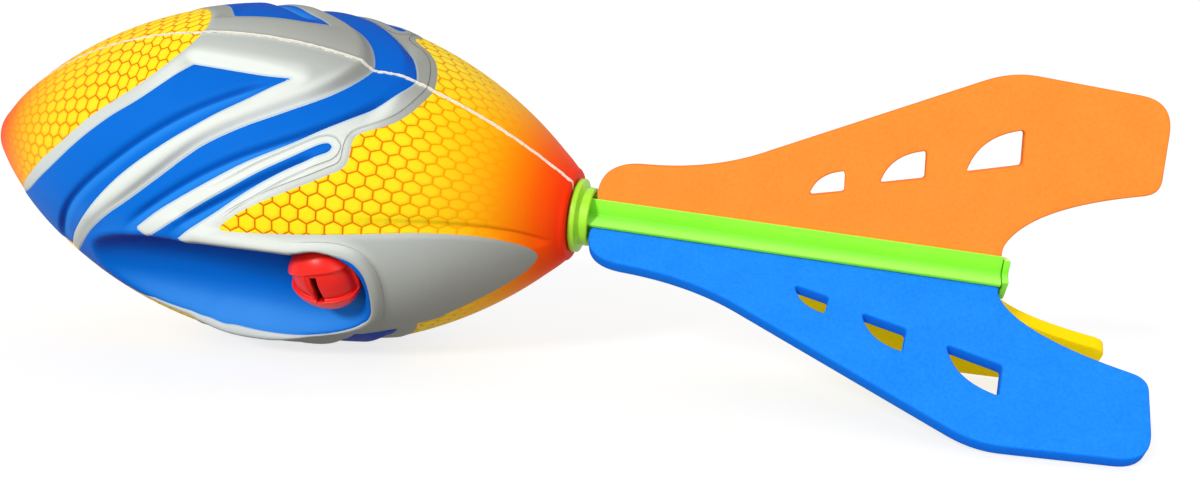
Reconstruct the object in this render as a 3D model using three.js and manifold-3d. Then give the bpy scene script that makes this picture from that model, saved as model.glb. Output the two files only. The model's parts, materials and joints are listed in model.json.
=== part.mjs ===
// A foam throwing toy with a three-finned tail: a football-shaped foam body in two halves,
// a whistle in each of its two finger scoops, a plastic hub anchored in the foam, a slotted
// tail core that grips three foam fins, and an end cap.
//
// The toy's own axis is X. The back of the foam body is at X = 0, the nose lies at -X and the
// tail at +X. Turns about X are measured from straight up towards -Y. The toy is drawn level
// and then pitched, so that its belly and its two lower fins rest on Z = 0.

import * as THREE from 'three';
import { mergeVertices } from 'three/addons/utils/BufferGeometryUtils.js';
import Module from 'manifold-3d';

// Fits, in millimetres
const clearance = 0.3;
const overrun = 5;

// Foam body: a football with a blunter nose
const bodyRadius = 47.7;
const widestToHub = 82;
const frontTaperLength = 99.5;
const rearTaperLength = 90;
const frontTaperPowerShare = 0.9;
const rearTaperPowerShare = 0.8;
const noseStartShare = 0.92;
const hubEdgeRadius = 1.2;

// Finger scoops, one in each half, a quarter turn from the seam
const scoopTurn = 127.5;
const scoopFrontToHub = 131;
const scoopLength = 87;
const scoopHalfWidth = 16;
const scoopDepth = 12.7;
const scoopDepthRadius = 11;
const scoopFrontPowerShare = 0.42;
const scoopRearPowerShare = 0.2;

// Whistles, seated in pockets at the rear of the scoops
const whistleToHub = 54;
const whistleTurnFromScoop = -7.5;
const whistleSeatDepth = 12.5;
const whistleRadius = 9;
const whistleFlange = 1.6;
const whistleWall = 1.2;
const whistleCupRadius = 7.4;
const whistleCupDepth = 11;
const whistleDomeHeight = 6.4;
const whistleBandRecess = 0.9;
const whistleBandWidth = 7.6;
const whistleSlotWidth = 2.2;
const whistleSlotLength = 6.2;
const whistleSlotSlant = 14;
const whistleRidgeWidth = 1;
const whistleHoodOverhang = 1.3;
const whistleSpigotDepth = 1.6;

// Hub: ring flange, socket for the tail core, and a stem with two anchor discs in the foam
const ringRadius = 10;
const ringWidth = 1.8;
const socketWall = 1.3;
const socketDepth = 3;
const stemRadius = 4.6;
const stemLength = 46;
const anchorRadius = 9.5;
const anchorWidth = 2;
const anchorSpacing = 18;
const spigotRadius = 2.3;
const spigotLength = 16;

// Fins: die-cut foam sheet, each flexing about its hinge line in the mouth of its slot
const finThickness = 3.6;
const finLength = 136.9;
const finReach = 50;
const finRootLength = 103.9;
const lowerFinTurn = 131.7;
const hingeRadius = 5.9;
const finSlotDepth = 1.6;
const lipBelowHinge = 0.5;

// Tail core and end cap
const cheekWall = 1.2;
const creaseShare = 0.92;
const capLength = 2;
const capPinRadius = 1.6;
const capPinLength = 6;

// Facets and other counts
const bodySides = 32;
const smallRoundSides = 28;
const profileSteps = 30;
const scoopSteps = 14;
const scoopSides = 28;
const outlineSteps = 5;
const domeSteps = 6;
const pitchHalvings = 40;

// Fin outline: along as shares of finLength from the front edge, out as shares of finReach
const frontEdgeTopShare = { along: 0, out: 0.24 };
const frontCornerShare = { along: 0, out: 0.305 };
const leadStartShare = { along: 0.03, out: 0.312 };
const leadBendShares = [{ along: 0.16, out: 0.33 }, { along: 0.25, out: 0.38 }, { along: 0.32, out: 0.479 }];
const leadEndShare = { along: 0.679, out: 0.95 };
const shoulderShare = { along: 0.722, out: 1.009 };
const tipStartShare = { along: 0.767, out: 1 };
const tipEndShare = { along: 0.942, out: 0.962 };
const aftCornerShare = { along: 0.994, out: 0.95 };
const aftStartShare = { along: 0.997, out: 0.8 };
const aftEndShare = { along: 1, out: 0.57 };
const heelShare = { along: 1, out: 0.505 };
const trailStartShare = { along: 0.975, out: 0.489 };
const trailBendShares = [{ along: 0.9, out: 0.44 }, { along: 0.785, out: 0.34 }, { along: 0.759, out: 0.15 }];

// Three vents in each fin, growing towards the tail, each shaped like a swept triangle
const ventFrontShares = [
  { along: 0.403, out: 0.28 },
  { along: 0.527, out: 0.388 },
  { along: 0.674, out: 0.498 },
];
const ventLengths = [8.5, 10.6, 12.6];
const ventHeights = [7.2, 9.4, 11.8];
const ventBendShare = { along: 0.12, out: 0.8 };
const ventPeakShare = { along: 0.94, out: 1 };
const ventHeelShare = { along: 1, out: 0.28 };

const wasm = await Module();
wasm.setup();

const radians = THREE.MathUtils.degToRad;

// Materials
const plastic = (color, roughness) => new THREE.MeshStandardMaterial({ color, roughness, metalness: 0 });
const foamPaint = () => plastic(0xf4a800, 0.75);
const whistleRed = () => plastic(0xf02a1a, 0.3);
const hubGreen = () => plastic(0x8fd028, 0.4);
const coreGreen = () => plastic(0x8cf02c, 0.35);
const foamOrange = () => plastic(0xff8a3c, 0.85);
const foamBlue = () => plastic(0x1e86f5, 0.85);
const foamYellow = () => plastic(0xf2d600, 0.85);

// Six times the volume that a triangle list encloses; negative when its faces point inwards
function signedVolume(points, triangles) {
  let total = 0;
  const [a, b, c] = [new THREE.Vector3(), new THREE.Vector3(), new THREE.Vector3()];
  for (let i = 0; i < triangles.length; i += 3) {
    a.fromArray(points, 3 * triangles[i]);
    b.fromArray(points, 3 * triangles[i + 1]);
    c.fromArray(points, 3 * triangles[i + 2]);
    total += a.dot(b.cross(c));
  }
  return total;
}

// Turns a closed three.js geometry into a solid that can be joined and cut
function solid(geometry) {
  const bare = geometry.index ? geometry.toNonIndexed() : geometry.clone();
  bare.deleteAttribute('normal');
  bare.deleteAttribute('uv');
  const merged = mergeVertices(bare);
  const points = merged.attributes.position.array;
  const corners = merged.index.array;
  const triangles = [];
  for (let i = 0; i < corners.length; i += 3) {
    const [a, b, c] = corners.slice(i, i + 3);
    if (a !== b && b !== c && c !== a) triangles.push(a, b, c);
  }
  if (signedVolume(points, triangles) < 0) triangles.reverse();
  const mesh = new wasm.Mesh({
    numProp: 3,
    vertProperties: new Float32Array(points),
    triVerts: new Uint32Array(triangles),
  });
  mesh.merge();
  return new wasm.Manifold(mesh);
}

// Turns a finished solid back into a named three.js mesh
function pieceMesh(name, shape, material) {
  const { vertProperties, triVerts } = shape.getMesh();
  const geometry = new THREE.BufferGeometry();
  geometry.setAttribute('position', new THREE.BufferAttribute(vertProperties, 3));
  geometry.setIndex(new THREE.BufferAttribute(triVerts, 1));
  geometry.computeVertexNormals();
  const mesh = new THREE.Mesh(geometry, material);
  mesh.name = name;
  return mesh;
}

// Revolves [x, radius] points about the X axis
function revolve(points, sides) {
  const profile = points.map(([x, radius]) => new THREE.Vector2(radius, x));
  return solid(new THREE.LatheGeometry(profile, sides).rotateZ(-Math.PI / 2));
}

// Revolves [radius, z] points about the Z axis
function revolveUp(points, sides) {
  const profile = points.map(([radius, z]) => new THREE.Vector2(radius, z));
  return solid(new THREE.LatheGeometry(profile, sides).rotateX(Math.PI / 2));
}

// A box given by its middle and its three sides
function box(centre, sides) {
  return solid(new THREE.BoxGeometry(...sides).translate(...centre));
}

// Foam body

const widestX = -widestToHub;
const taper = (share, power) => (1 - share * share) ** power;

// Radius of the body's outer skin at a place on the axis, before the nose is rounded
function skinRadius(x) {
  if (x < widestX) return bodyRadius * taper((widestX - x) / frontTaperLength, frontTaperPowerShare);
  return bodyRadius * taper((x - widestX) / rearTaperLength, rearTaperPowerShare);
}

// The nose is a ball that meets the taper without a corner
const noseStartX = widestX - noseStartShare * frontTaperLength;
const noseStartRadius = skinRadius(noseStartX);
const noseSlope = 2 * frontTaperPowerShare * noseStartShare * noseStartRadius
  / (frontTaperLength * (1 - noseStartShare * noseStartShare));
const noseBallRadius = noseStartRadius * Math.hypot(1, noseSlope);
const noseCentreX = noseStartX + noseStartRadius * noseSlope;
const noseTipX = noseCentreX - noseBallRadius;

// Steps evenly from one place to another, both ends included
const steps = (from, to, count) => Array.from({ length: count + 1 }, (_, i) => from + (to - from) * i / count);

// The outer skin as [x, radius] points, from the nose tip to the rim of the rear face
function skinProfile() {
  const noseArc = Math.atan2(noseStartRadius, noseCentreX - noseStartX);
  const nose = steps(0, noseArc, outlineSteps)
    .map((a) => [noseCentreX - noseBallRadius * Math.cos(a), noseBallRadius * Math.sin(a)]);
  nose[0][1] = 0;
  const flank = steps(noseStartX, -hubEdgeRadius, profileSteps).slice(1).map((x) => [x, skinRadius(x)]);
  return [...nose, ...flank];
}

const rearFaceRadius = skinRadius(-hubEdgeRadius) - hubEdgeRadius;

// One flat of the skin faces the ground, as the soft foam does where it lies on a table
const flatTurn = 180 / bodySides;
const undersideTurn = 180 - scoopTurn;

function bodySolid() {
  return revolve([...skinProfile(), [0, rearFaceRadius], [0, 0]], bodySides)
    .rotate([undersideTurn - flatTurn, 0, 0]);
}

// Half-width of the scoop as a share, at a share of its length from the front
function scoopWidthShare(along) {
  const peak = scoopFrontPowerShare / (scoopFrontPowerShare + scoopRearPowerShare);
  const shape = (t) => t ** scoopFrontPowerShare * (1 - t) ** scoopRearPowerShare;
  return shape(along) / shape(peak);
}

// The hollow of one finger scoop: a teardrop of revolution, flattened, just under the skin
function scoopSolid() {
  const halfTurns = steps(0, Math.PI, scoopSteps);
  const points = halfTurns.map((turn) => {
    const along = (1 - Math.cos(turn)) / 2;
    return [along * scoopLength - scoopFrontToHub, scoopWidthShare(along)];
  });
  points[0][1] = 0;
  points[scoopSteps][1] = 0;
  const floorRadius = bodyRadius - scoopDepth;
  return revolve(points, scoopSides)
    .scale([1, scoopHalfWidth, scoopDepthRadius])
    .translate([0, 0, floorRadius + scoopDepthRadius]);
}

// Whistle levels, measured out from the toy's axis
const whistleSeatRadius = bodyRadius - whistleSeatDepth;
const flangeBase = whistleSeatRadius + clearance;
const flangeTop = flangeBase + whistleFlange;
const capBase = flangeTop + clearance;
const capTop = capBase + whistleDomeHeight;

function placeWhistle(shape) {
  return shape.rotate([whistleTurnFromScoop, 0, 0]).translate([-whistleToHub, 0, 0]);
}

// The pocket that the foam leaves for a whistle
function whistlePocket() {
  const bore = whistleCupRadius + clearance;
  const counterbore = whistleRadius + clearance;
  const bottom = whistleSeatRadius - whistleCupDepth;
  const top = bodyRadius + overrun;
  return placeWhistle(revolveUp([
    [0, bottom], [bore, bottom], [bore, whistleSeatRadius],
    [counterbore, whistleSeatRadius], [counterbore, top], [0, top],
  ], smallRoundSides));
}

// Hub

const ringStart = clearance;
const ringEnd = ringStart + ringWidth;
const socketEnd = ringEnd + socketDepth;
const lipTop = hingeRadius - lipBelowHinge;
const slotHalf = finThickness / 2 + clearance;
const lipOffset = slotHalf + cheekWall;
const coreCornerRadius = Math.hypot(lipTop, lipOffset);
const socketInnerRadius = coreCornerRadius + clearance;
const socketOuterRadius = socketInnerRadius + socketWall;
const boreRadius = spigotRadius + clearance;
const boreDepth = spigotLength + clearance;

// Outline of the stem and its two anchor discs as [x, radius], grown by a margin
function stemProfile(margin) {
  const stem = stemRadius + margin;
  const disc = anchorRadius + margin;
  const discEnds = [stemLength, stemLength - anchorSpacing].map((rear) => [
    [-rear - margin, disc], [-rear + anchorWidth + margin, disc],
  ]);
  return [
    [-stemLength - margin, 0], ...discEnds[0], [discEnds[0][1][0], stem],
    [discEnds[1][0][0], stem], ...discEnds[1], [discEnds[1][1][0], stem],
  ];
}

function hubSolid() {
  const outer = revolve([
    ...stemProfile(0), [ringStart, stemRadius], [ringStart, ringRadius],
    [ringEnd, ringRadius], [ringEnd, socketOuterRadius], [socketEnd, socketOuterRadius], [socketEnd, 0],
  ], smallRoundSides);
  const socket = revolve([
    [ringEnd - boreDepth, 0], [ringEnd - boreDepth, boreRadius], [ringEnd, boreRadius],
    [ringEnd, socketInnerRadius], [socketEnd + overrun, socketInnerRadius], [socketEnd + overrun, 0],
  ], smallRoundSides);
  return outer.subtract(socket);
}

// The space that the foam leaves round the stem, open at the body's rear face
function stemChannel() {
  const end = stemProfile(clearance);
  return revolve([...end, [overrun, stemRadius + clearance], [overrun, 0]], smallRoundSides);
}

// One half of the foam body, with its scoop facing +Z and the seam on Z = 0
function bodyHalf() {
  const length = -noseTipX + overrun;
  const span = 2 * (bodyRadius + overrun);
  const keep = box([-length / 2 + overrun / 2, 0, clearance / 2 + span / 2], [length + overrun, span, span]);
  return bodySolid()
    .intersect(keep)
    .subtract(scoopSolid())
    .subtract(whistlePocket())
    .subtract(stemChannel());
}

// Whistle

function whistleHousing() {
  const bottom = flangeBase - whistleCupDepth + clearance;
  const inner = whistleCupRadius - whistleWall;
  return placeWhistle(revolveUp([
    [0, bottom], [whistleCupRadius, bottom], [whistleCupRadius, flangeBase],
    [whistleRadius, flangeBase], [whistleRadius, flangeTop], [inner, flangeTop],
    [inner, bottom + whistleWall], [0, bottom + whistleWall],
  ], smallRoundSides));
}

// A dome on the cap's base, smaller all over by an inset
function dome(inset) {
  const rim = whistleRadius - inset;
  const height = whistleDomeHeight - inset;
  const arc = steps(0, Math.PI / 2, domeSteps).map((a) => [rim * Math.cos(a), capBase + height * Math.sin(a)]);
  arc[domeSteps][0] = 0;
  return revolveUp([[0, capBase], ...arc], smallRoundSides);
}

// The cap: a dome with a recessed middle band, a slanting slot beside a ridge, and a hood
function whistleCap() {
  const reach = 2 * (whistleRadius + overrun);
  const middle = (capBase + capTop) / 2;
  const inner = whistleCupRadius - whistleWall - clearance;
  const band = box([0, 0, middle], [reach, whistleBandWidth, reach]);
  const skin = dome(0).subtract(band).add(dome(whistleBandRecess));
  const slotTop = capTop + overrun;
  const slot = box([0, 0, 0], [whistleSlotWidth, whistleSlotLength, reach])
    .rotate([0, 0, whistleSlotSlant])
    .translate([-whistleSlotWidth / 2, 0, slotTop]);
  const ridge = box([0, 0, middle], [whistleRidgeWidth, whistleBandWidth, reach])
    .rotate([0, 0, whistleSlotSlant])
    .translate([-2 * whistleSlotWidth, 0, 0])
    .intersect(dome(whistleBandRecess / 2));
  const hood = dome(0)
    .intersect(box([0, whistleBandWidth / 2 + reach / 2, middle], [reach, reach, reach]))
    .translate([0, -whistleHoodOverhang, 0])
    .intersect(dome(0));
  const spigot = revolveUp([
    [0, capBase - whistleSpigotDepth], [inner, capBase - whistleSpigotDepth],
    [inner, capBase + whistleWall], [0, capBase + whistleWall],
  ], smallRoundSides);
  const aboveFloor = box([0, 0, capBase + whistleWall + reach / 2], [reach, reach, reach]);
  const chamber = dome(whistleBandRecess + whistleWall).intersect(aboveFloor).add(revolveUp([
    [0, capBase - whistleSpigotDepth - overrun], [inner - whistleWall, capBase - whistleSpigotDepth - overrun],
    [inner - whistleWall, capBase + 2 * whistleWall], [0, capBase + 2 * whistleWall],
  ], smallRoundSides));
  return placeWhistle(skin.add(ridge).add(hood).add(spigot).subtract(chamber).subtract(slot));
}

// Tail core

// One corner of the core's outline, from a fin's turn, a distance out along it and an offset
function corner(turn, out, offset) {
  const a = radians(turn);
  return new THREE.Vector2(offset * Math.cos(a) - out * Math.sin(a), offset * Math.sin(a) + out * Math.cos(a));
}

// The core's section: a grooved lobe at each fin, and a crease half way between neighbours
function coreOutline(slotted) {
  const turns = [0, lowerFinTurn, 360 - lowerFinTurn];
  const points = [];
  turns.forEach((turn, i) => {
    const next = i + 1 < turns.length ? turns[i + 1] : 360;
    const half = (next - turn) / 2;
    const slotFloor = lipTop - finSlotDepth;
    points.push(corner(turn, lipTop, lipOffset));
    if (slotted) {
      points.push(corner(turn, lipTop, slotHalf), corner(turn, slotFloor, slotHalf));
      points.push(corner(turn, slotFloor, -slotHalf), corner(turn, lipTop, -slotHalf));
    }
    points.push(corner(turn, lipTop, -lipOffset));
    points.push(corner(turn + half, creaseShare * lipOffset / Math.sin(radians(half)), 0));
  });
  return new THREE.Shape(points);
}

// Extrudes an outline drawn in Y and Z along X
function extrudeAlong(outline, from, to) {
  const geometry = new THREE.ExtrudeGeometry(outline, { depth: to - from, bevelEnabled: false });
  const swap = new THREE.Matrix4().makeBasis(
    new THREE.Vector3(0, 1, 0), new THREE.Vector3(0, 0, 1), new THREE.Vector3(1, 0, 0),
  );
  return solid(geometry.applyMatrix4(swap).translate(from, 0, 0));
}

const finFront = socketEnd + 2 * clearance;
const coreEnd = finFront + finRootLength + clearance;

function tailCore() {
  const spigotEnd = ringEnd - spigotLength;
  const spigot = revolve([
    [spigotEnd, 0], [spigotEnd, spigotRadius], [finFront, spigotRadius], [finFront, 0],
  ], smallRoundSides);
  const pinHole = revolve([
    [coreEnd - capPinLength - clearance, 0], [coreEnd - capPinLength - clearance, capPinRadius + clearance],
    [coreEnd + overrun, capPinRadius + clearance], [coreEnd + overrun, 0],
  ], smallRoundSides);
  return extrudeAlong(coreOutline(true), ringEnd + clearance, coreEnd).add(spigot).subtract(pinHole);
}

function endCap() {
  const start = coreEnd + clearance;
  const pin = revolve([
    [coreEnd - capPinLength, 0], [coreEnd - capPinLength, capPinRadius],
    [start + capLength / 2, capPinRadius], [start + capLength / 2, 0],
  ], smallRoundSides);
  return extrudeAlong(coreOutline(false), start, start + capLength).add(pin);
}

// Fins

const finPoint = ({ along, out }) => [finFront + along * finLength, out * finReach];

// The fin's outline beyond its hinge line, with its three vents
function finOutline() {
  const outline = new THREE.Shape();
  outline.moveTo(finFront, hingeRadius);
  outline.lineTo(...finPoint(frontEdgeTopShare));
  outline.quadraticCurveTo(...finPoint(frontCornerShare), ...finPoint(leadStartShare));
  outline.bezierCurveTo(...leadBendShares.flatMap(finPoint));
  outline.lineTo(...finPoint(leadEndShare));
  outline.quadraticCurveTo(...finPoint(shoulderShare), ...finPoint(tipStartShare));
  outline.lineTo(...finPoint(tipEndShare));
  outline.quadraticCurveTo(...finPoint(aftCornerShare), ...finPoint(aftStartShare));
  outline.lineTo(...finPoint(aftEndShare));
  outline.quadraticCurveTo(...finPoint(heelShare), ...finPoint(trailStartShare));
  outline.bezierCurveTo(...trailBendShares.flatMap(finPoint));
  outline.lineTo(finFront + finRootLength, hingeRadius);
  outline.closePath();
  outline.holes = ventFrontShares.map((front, i) => {
    const [x, z] = finPoint(front);
    const at = ({ along, out }) => [x + along * ventLengths[i], z + out * ventHeights[i]];
    const vent = new THREE.Path();
    vent.moveTo(x, z);
    vent.lineTo(...at(ventHeelShare));
    vent.lineTo(...at(ventPeakShare));
    vent.quadraticCurveTo(...at(ventBendShare), x, z);
    return vent;
  });
  return outline;
}

// One fin, standing up from the axis: a flat sheet with a round edge on its hinge line
function finSolid() {
  const sheet = new THREE.ExtrudeGeometry(finOutline(), {
    depth: finThickness,
    bevelEnabled: false,
    curveSegments: outlineSteps,
  }).translate(0, 0, -finThickness / 2).rotateX(Math.PI / 2);
  const edge = new THREE.CylinderGeometry(finThickness / 2, finThickness / 2, finRootLength, smallRoundSides)
    .rotateZ(Math.PI / 2)
    .translate(finFront + finRootLength / 2, 0, hingeRadius);
  return solid(sheet).add(solid(edge));
}

// Resting pitch: the tail drops until the belly and the lower fins touch the same surface

const steepestPitch = Math.PI / 6;

const lowestPoint = (points, pitch) => Math.min(
  ...points.map(([x, z]) => z * Math.cos(pitch) - x * Math.sin(pitch)),
);

function lowerFinPoints() {
  const turn = radians(lowerFinTurn);
  const lift = finThickness / 2 * Math.abs(Math.sin(turn));
  return finOutline().getPoints(outlineSteps).map(({ x, y }) => [x, y * Math.cos(turn) - lift]);
}

const bellyPoints = skinProfile().map(([x, radius]) => [x, -radius * Math.cos(radians(flatTurn))]);
const finEdgePoints = lowerFinPoints();

function restingPitch() {
  let [low, high] = [-steepestPitch, steepestPitch];
  for (let i = 0; i < pitchHalvings; i += 1) {
    const pitch = (low + high) / 2;
    if (lowestPoint(finEdgePoints, pitch) > lowestPoint(bellyPoints, pitch)) low = pitch;
    else high = pitch;
  }
  return (low + high) / 2;
}

// Assembly

const toy = new THREE.Group();

const halfShape = bodyHalf();
const housingShape = whistleHousing();
const capShape = whistleCap();
['left', 'right'].forEach((side, i) => {
  const half = new THREE.Group();
  half.add(
    pieceMesh(`foam_body_${side}_half`, halfShape, foamPaint()),
    pieceMesh(`whistle_housing_${side}`, housingShape, whistleRed()),
    pieceMesh(`whistle_cap_${side}`, capShape, whistleRed()),
  );
  half.rotation.x = radians(scoopTurn) + i * Math.PI;
  toy.add(half);
});

toy.add(
  pieceMesh('tail_hub', hubSolid(), hubGreen()),
  pieceMesh('tail_core', tailCore(), coreGreen()),
  pieceMesh('tail_end_cap', endCap(), coreGreen()),
);

const finShape = finSolid();
const fins = [
  ['top_fin_orange', 0, foamOrange()],
  ['left_fin_blue', lowerFinTurn, foamBlue()],
  ['right_fin_yellow', -lowerFinTurn, foamYellow()],
];
fins.forEach(([name, turn, material]) => {
  const fin = pieceMesh(name, finShape, material);
  fin.rotation.x = radians(turn);
  toy.add(fin);
});

const pitch = restingPitch();
toy.rotation.y = pitch;
toy.position.z = -lowestPoint(bellyPoints, pitch);
toy.updateMatrixWorld(true);
const bounds = new THREE.Box3().setFromObject(toy, true);
toy.position.x = -(bounds.min.x + bounds.max.x) / 2;

const toyOnTable = new THREE.Group();
toyOnTable.add(toy);

export default toyOnTable;
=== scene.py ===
"""The looks of a foam throwing toy: a printed foam body in two halves, whistles in its finger
scoops, a green plastic tail and three foam fins.

Shapes are worked out in the toy's own frame, in millimetres: X runs along the toy's axis from the
nose at -X to the tail at +X, with the body's rear face at 0. Turns about X are measured in degrees
from straight up towards -Y. The function on_table carries them into the row frame, in metres.
"""

import json

import bpy
import numpy as np
from mathutils import Matrix, Vector
from mathutils.geometry import delaunay_2d_cdt


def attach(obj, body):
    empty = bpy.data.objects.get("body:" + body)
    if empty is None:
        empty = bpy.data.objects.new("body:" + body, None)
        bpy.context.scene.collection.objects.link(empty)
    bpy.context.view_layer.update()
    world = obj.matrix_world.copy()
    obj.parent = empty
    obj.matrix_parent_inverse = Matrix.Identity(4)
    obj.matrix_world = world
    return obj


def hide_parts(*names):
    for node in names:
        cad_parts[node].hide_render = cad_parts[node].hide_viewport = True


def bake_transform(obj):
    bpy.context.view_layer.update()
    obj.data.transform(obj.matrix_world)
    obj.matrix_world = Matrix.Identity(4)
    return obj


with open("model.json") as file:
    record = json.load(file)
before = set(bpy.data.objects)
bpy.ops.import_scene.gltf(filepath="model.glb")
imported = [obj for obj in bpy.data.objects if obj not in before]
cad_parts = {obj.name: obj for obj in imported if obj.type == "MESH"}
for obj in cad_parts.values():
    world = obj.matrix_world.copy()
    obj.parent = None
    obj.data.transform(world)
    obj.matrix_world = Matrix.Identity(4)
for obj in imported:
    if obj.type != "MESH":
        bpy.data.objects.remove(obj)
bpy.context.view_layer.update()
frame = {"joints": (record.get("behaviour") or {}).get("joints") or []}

MM = 0.001

# Body, as in the part's source
BODY_RADIUS = 47.7
WIDEST_X = -82.0
FRONT_TAPER = 99.5
REAR_TAPER = 90.0
FRONT_POWER = 0.9
REAR_POWER = 0.8
NOSE_START_SHARE = 0.92
HUB_EDGE_RADIUS = 1.2
RIM_BEND = 0.35

# Finger scoops
SCOOP_TURN = 127.5
SCOOP_FRONT_X = -131.0
SCOOP_LENGTH = 87.0
SCOOP_HALF_WIDTH = 16.0
SCOOP_DEPTH = 12.7
SCOOP_DEPTH_RADIUS = 11.0
SCOOP_FRONT_POWER = 0.42
SCOOP_REAR_POWER = 0.2

# Whistles, whose domes stand a little prouder than the solids
WHISTLE_X = -55.6
WHISTLE_TURN = -5.6
WHISTLE_SEAT = BODY_RADIUS - 12.5
WHISTLE_RADIUS = 9.4
WHISTLE_FLANGE = 3.0
WHISTLE_WALL = 1.2
CUP_RADIUS = 7.4
CUP_DEPTH = 11.0
DOME_HEIGHT = 6.4
BAND_RECESS = 1.1
HOOD_EDGE = 5.0
HOOD_SLOPE = 0.22
HOOD_CURVE = 0.02
LIP_EDGE = -3.2
LIP_CURVE = 0.015
EDGE_SOFTNESS = 0.3
SLOT_PLACE = 0.2
SLOT_SIZE = (2.0, 7.4)
SLOT_SLANT = 10.0
SLOT_FLOOR = 1.6
RIDGE_PLACE = -1.7
RIDGE_SIZE = (1.5, 9.2)
RIDGE_SLANT = 20.0
RIDGE_SOFTNESS = 0.5
RIDGE_SHARE = 0.6
DOME_RINGS = 130
DOME_POINTS = 320
DOME_FOOT = 0.02
RECESS_SHADE = 0.16
CUP_SOFTNESS = 0.35
CUP_SIDES = 96

# Tail
GAP = 0.3
NEAR_AXIS = 0.01
HUB_SOFTNESS = 0.5
HUB_SIDES = 128
CORE_SOFTNESS = 0.35
RING_RADIUS = 10.0
RING_WIDTH = 1.8
SOCKET_DEPTH = 3.0
SOCKET_WALL = 1.3
STEM_RADIUS = 4.6
STEM_LENGTH = 46.0
ANCHOR_RADIUS = 9.5
ANCHOR_WIDTH = 2.0
ANCHOR_SPACING = 18.0
SPIGOT_RADIUS = 2.3
SPIGOT_LENGTH = 16.0
FIN_THICKNESS = 3.6
FIN_LENGTH = 136.9
FIN_REACH = 50.0
FIN_ROOT = 103.9
LOWER_FIN_TURN = 131.7
HINGE_RADIUS = 5.9
SLOT_DEPTH = 1.6
LIP_TOP = HINGE_RADIUS - 0.5
CHEEK_WALL = 1.2
CREASE_SHARE = 0.8
CAP_LENGTH = 1.5
CAP_DROP = 0.8
END_DRAW = 0.25

RING_START = GAP
RING_END = RING_START + RING_WIDTH
SOCKET_END = RING_END + SOCKET_DEPTH
FIN_FRONT = SOCKET_END + 2 * GAP
CORE_END = FIN_FRONT + FIN_ROOT + GAP
SLOT_HALF = FIN_THICKNESS / 2 + GAP
LIP_OFFSET = SLOT_HALF + CHEEK_WALL
FLANGE_BASE = WHISTLE_SEAT + GAP
FLANGE_TOP = FLANGE_BASE + WHISTLE_FLANGE
CAP_BASE = FLANGE_TOP + GAP

# The toy's frame in the row frame, from the top fin's hinge, which runs along the toy's axis
hinge = next(j for j in frame["joints"] if j["name"] == "top_fin_flex")
AXIS = np.array(hinge["axis"]) / np.linalg.norm(hinge["axis"])
LIFT = np.array([-AXIS[2], 0.0, AXIS[0]])
ORIGIN = np.array(hinge["pos_m"]) / MM - (FIN_FRONT + FIN_ROOT / 2) * AXIS - HINGE_RADIUS * LIFT
TURNED = np.array([AXIS, [0.0, 1.0, 0.0], LIFT])


def on_table(points):
    """Carries points from the toy's frame in millimetres into the row frame in metres: the origin plus
    x times the axis, y times the side and z times the lift."""
    return (np.asarray(points, float) @ TURNED + ORIGIN) * MM


def turned(points, degrees):
    """Turns points about the toy's axis, from straight up towards -Y."""
    a = np.radians(degrees)
    x, y, z = np.moveaxis(np.asarray(points, float), -1, 0)
    return np.stack([x, y * np.cos(a) - z * np.sin(a), y * np.sin(a) + z * np.cos(a)], -1)


def ease(value, start, end):
    """Smooth step: 0 before start, 1 after end, and 3t^2 - 2t^3 between them."""
    t = np.clip((value - start) / (end - start), 0, 1)
    return t * t * (3 - 2 * t)


# Meshes and outlines


def piece(name, points, face_sets, body, finish, replaces=()):
    """Makes a smooth-shaded mesh from points in the toy's frame and arrays of faces, each array with
    one corner count, turns its faces outwards if the volume they enclose is negative, and puts it on
    its body, where it has one."""
    points = np.asarray(points, float)
    mesh = bpy.data.meshes.new(name)
    mesh.vertices.add(len(points))
    mesh.vertices.foreach_set("co", on_table(points).ravel())
    corners = np.concatenate([np.asarray(f).ravel() for f in face_sets])
    sizes = np.concatenate([np.full(len(f), np.shape(f)[1]) for f in face_sets])
    mesh.loops.add(len(corners))
    mesh.loops.foreach_set("vertex_index", corners.astype(np.int32))
    mesh.polygons.add(len(sizes))
    mesh.polygons.foreach_set("loop_start", (np.cumsum(sizes) - sizes).astype(np.int32))
    mesh.update(calc_edges=True)
    mesh.shade_smooth()
    if enclosed_volume(points, face_sets) < 0:
        mesh.flip_normals()
    obj = bpy.data.objects.new(name, mesh)
    bpy.context.scene.collection.objects.link(obj)
    mesh.materials.append(finish)
    if body:
        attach(obj, body)
    if replaces:
        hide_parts(*replaces)
    return obj


def enclosed_volume(points, face_sets):
    """Sum over the faces' fans of a . (b x c) / 6."""
    total = 0.0
    for faces in face_sets:
        faces = np.asarray(faces)
        a = points[faces[:, 0]]
        for i in range(1, faces.shape[1] - 1):
            total += np.einsum("ij,ij->", a, np.cross(points[faces[:, i]], points[faces[:, i + 1]])) / 6
    return total


def quads_between(index):
    """Quads from each row of a grid of point numbers to the next, all the way round the rows."""
    return np.stack([
        index[:-1], np.roll(index[:-1], -1, 1), np.roll(index[1:], -1, 1), index[1:],
    ], -1).reshape(-1, 4)


def loft(rings):
    """Joins rings of points, an array of rings by points by 3, with quads, and closes each end with
    one flat face."""
    count, around = rings.shape[:2]
    index = np.arange(count * around).reshape(count, around)
    return rings.reshape(-1, 3), [quads_between(index), index[:1, ::-1], index[-1:]]


def attribute(obj, name, values):
    """Stores one number for each vertex."""
    layer = obj.data.attributes.new(name, "FLOAT", "POINT")
    layer.data.foreach_set("value", np.asarray(values, np.float32).ravel())


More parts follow.
